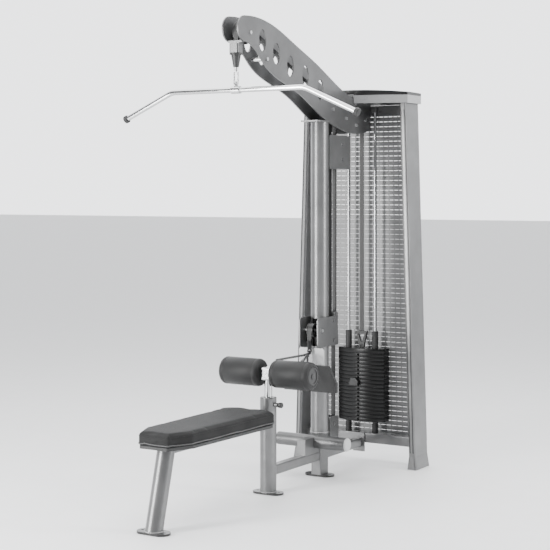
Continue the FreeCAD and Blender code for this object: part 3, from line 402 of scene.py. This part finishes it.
def perforated_panel():
    """Sheet with even rows of slots, tapering with the uprights."""
    low, high, y, sheet = 0.142, 2.018, 0.5505, 0.002
    rows, columns, margin, edge = 66, 21, 0.02, 0.97
    slot_width, slot_height, squareness = 0.42, 0.040, 0.45
    verts, faces = [], []
    pitch = (high - low - 2 * margin) / rows

    def half(z):
        return 0.381 - POST_LEAN * z / POST_TOP

    def place(u, z):
        return (u * half(z), y, z)

    def quad(u0, u1, z0, z1):
        base = len(verts)
        verts.extend([place(u0, z0), place(u1, z0), place(u1, z1), place(u0, z1)])
        faces.append((base, base + 1, base + 2, base + 3))

    def slotted(u0, u1, z0, z1):
        """One cell with an obround slot, filled between the slot and the cell's edge."""
        cu, cz = (u0 + u1) / 2, (z0 + z1) / 2
        width, height = (u1 - u0) * slot_width, (z1 - z0) * slot_height
        base = len(verts)
        steps = 16
        for i in range(steps):
            a = 2 * math.pi * i / steps
            c, s = math.cos(a), math.sin(a)
            reach = max(abs(c), abs(s))
            verts.append(place(cu + c / reach * (u1 - u0) / 2, cz + s / reach * (z1 - z0) / 2))
            su = math.copysign(abs(c) ** squareness, c)
            sz = math.copysign(abs(s) ** squareness, s)
            verts.append(place(cu + su * width, cz + sz * height))
        for i in range(steps):
            j = (i + 1) % steps
            faces.append((base + 2 * i, base + 2 * j, base + 2 * j + 1, base + 2 * i + 1))

    quad(-1, 1, low, low + margin)
    quad(-1, 1, high - margin, high)
    for row in range(rows):
        z0 = low + margin + row * pitch
        z1 = z0 + pitch
        quad(-1, -edge, z0, z1)
        quad(edge, 1, z0, z1)
        for column in range(columns):
            u0 = -edge + 2 * edge * column / columns
            slotted(u0, u0 + 2 * edge / columns, z0, z1)
    obj = mesh_object("rear_sheet", verts, faces, PANEL, smooth=False)
    weld = bmesh.new()
    weld.from_mesh(obj.data)
    bmesh.ops.remove_doubles(weld, verts=weld.verts, dist=0.0001)
    weld.to_mesh(obj.data)
    weld.free()
    solid = obj.modifiers.new("sheet", "SOLIDIFY")
    solid.thickness = sheet
    solid.offset = -1
    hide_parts("rear_panel")
    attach(obj, "frame")


perforated_panel()


# ---------------------------------------------------------------- straight belt runs
BELT_WIDTH = 0.025
BELT_THICKNESS = 0.003
BELT_STEPS = 40


def running_belt(name, node, start, end, moving):
    """Straight run between two fixed points, from the frame to a moving body, baked in place."""
    obj = ribbon(name, start, end, BELT_WIDTH, BELT_THICKNESS, BELT_STEPS, BELT)
    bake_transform(obj)
    if node:
        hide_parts(node)


# name, the node that the run stands for, start, end, moving body
BELT_RUNS = [
    ("lat_drop", "lat_belt_drop", (0, -0.830, 2.310), (0, -0.830, 2.211), "lat_stopper"),
    ("stack_run", "stack_belt", (0, 0.487, 1.925), (0, 0.487, 0.739), "weight_stack"),
    ("tail_run", "row_belt_tail", (0, 0.150, 0.322), (0, 0.150, 0.692), "floating_block"),
    ("row_drop", "row_belt_drop", (0, -0.112, 0.785), (0, -0.112, 0.736), "row_hook"),
    ("block_run_0", "block_belt", (0, 0.1105, 1.925), (0, 0.1105, 0.850), "floating_block"),
    ("block_run_1", None, (0, 0.1635, 1.925), (0, 0.1635, 0.850), "floating_block"),
]
for run in BELT_RUNS:
    running_belt(*run)


def block_loop():
    """Half turn of belt under the floating block's pulley."""
    cy, cz, radius = 0.137, 0.850, 0.0265
    verts, faces = [], []
    steps = 24
    for i in range(steps + 1):
        a = math.pi + math.pi * i / steps
        for x, r in ((-1, -1), (1, -1), (1, 1), (-1, 1)):
            reach = radius + r * BELT_THICKNESS / 2
            verts.append((x * BELT_WIDTH / 2, cy + reach * math.cos(a), cz + reach * math.sin(a)))
    for i in range(steps):
        for k in range(4):
            p, q = i * 4 + k, i * 4 + (k + 1) % 4
            faces.append((p, p + 4, q + 4, q))
    faces.append((0, 1, 2, 3))
    top = steps * 4
    faces.append((top + 3, top + 2, top + 1, top))
    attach(mesh_object("block_loop", verts, faces, BELT), "floating_block")


block_loop()


# ---------------------------------------------------------------- welds and trim
def weld_ring(name, centre, radius):
    """Rippled weld bead round the foot of a round tube."""
    ripples, section = 64, 8
    steps = ripples * 4
    verts, faces = [], []
    for i in range(steps):
        a = 2 * math.pi * i / steps
        out = Vector((math.cos(a), math.sin(a), 0))
        bead = 0.0032 + 0.0005 * math.sin(a * ripples)
        for k in range(section):
            b = 2 * math.pi * k / section
            verts.append(Vector(centre) + out * (radius + bead * math.cos(b))
                         + Vector((0, 0, 1)) * bead * math.sin(b))
    for i in range(steps):
        j = (i + 1) % steps
        for k in range(section):
            m = (k + 1) % section
            faces.append((i * section + k, j * section + k, j * section + m, i * section + m))
    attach(mesh_object(name, verts, faces, WELD), "frame")


weld_ring("weld_rear_post", (0, -0.53, 0.0105), 0.042)
weld_ring("weld_front_leg", (0, -1.5054, 0.0105), 0.0418)
weld_ring("weld_column", (0, 0, 0.2365), 0.048)


def upright_trim(side):
    """Two dark inlays down the leaning upright's front face."""
    width, proud, lean = 0.0055, 0.0008, POST_LEAN / POST_TOP
    low, high, front = 0.09, 1.985, 0.385
    verts, faces = [], []
    for x in (0.3555, 0.3745):
        base = len(verts)
        for z in (low, high):
            for dx, y in ((-1, front - proud), (1, front - proud), (1, front + proud),
                          (-1, front + proud)):
                verts.append((side * (x - lean * z + dx * width / 2), y, z))
        faces += [(base + a, base + b, base + c, base + d) for a, b, c, d in
                  ((0, 1, 5, 4), (1, 2, 6, 5), (2, 3, 7, 6), (3, 0, 4, 7), (3, 2, 1, 0),
                   (4, 5, 6, 7))]
    name = "trim_right" if side > 0 else "trim_left"
    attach(mesh_object(name, verts, faces, DARK, smooth=False), "frame")


upright_trim(1)
upright_trim(-1)


# ---------------------------------------------------------------- camera, floor and light
def area_light(name, place, target, size, power):
    data = bpy.data.lights.new(name, "AREA")
    data.shape = "RECTANGLE"
    data.size, data.size_y = size
    data.energy = power
    obj = bpy.data.objects.new(name, data)
    obj.location = place
    obj.rotation_euler = (Vector(target) - Vector(place)).to_track_quat("-Z", "Y").to_euler()
    bpy.context.scene.collection.objects.link(obj)


def studio_world(ahead, dim, bright):
    """Soft surround that is bright one way along the ground and dim the other."""
    world = bpy.data.worlds.new("studio")
    world.use_nodes = True
    tree = world.node_tree
    way = add(tree, "ShaderNodeTexCoord").outputs["Generated"]
    dot = add(tree, "ShaderNodeVectorMath")
    dot.operation = "DOT_PRODUCT"
    dot.inputs[1].default_value = ahead
    tree.links.new(way, dot.inputs[0])
    background = tree.nodes["Background"]
    background.inputs["Color"].default_value = (0.97, 0.98, 1.0, 1)
    strength = ramp(tree, dot.outputs["Value"], dim, bright, -0.1, 0.8)
    tree.links.new(strength, background.inputs["Strength"])
    bpy.context.scene.world = world


REACH = 60
DROP = -0.001
floor = mesh_object("floor", [(-REACH, -REACH, DROP), (REACH, -REACH, DROP),
                              (REACH, REACH, DROP), (-REACH, REACH, DROP)], [(0, 1, 2, 3)],
                    finish("floor", grey(0.90), grey(0.92), 0.6, 0.0, 30, 0.02), smooth=False)

area_light("overhead", (0.3, -1.0, 4.6), (0, -0.5, 0.3), (5.5, 5.5), 330)
area_light("strip_left", (-1.9, -5.0, 2.0), (0, -0.3, 1.0), (0.9, 3.4), 260)
area_light("strip_right", (4.6, 0.6, 2.2), (0, -0.2, 1.0), (1.2, 3.2), 170)
area_light("leg_fill", (-1.6, -3.6, 0.9), (0, -1.4, 0.25), (0.6, 1.4), 40)
studio_world((-0.521, 0.8536, 0), 0.34, 3.1)

camera_data = bpy.data.cameras.new("camera")
camera_data.lens = 91.64
camera_data.sensor_width = 36.0
camera_data.shift_y = -0.1545
camera = bpy.data.objects.new("camera", camera_data)
camera.location = (3.735, -6.583, 1.54)
camera.rotation_euler = (math.pi / 2, 0, math.radians(31.4))
bpy.context.scene.collection.objects.link(camera)
bpy.context.scene.camera = camera
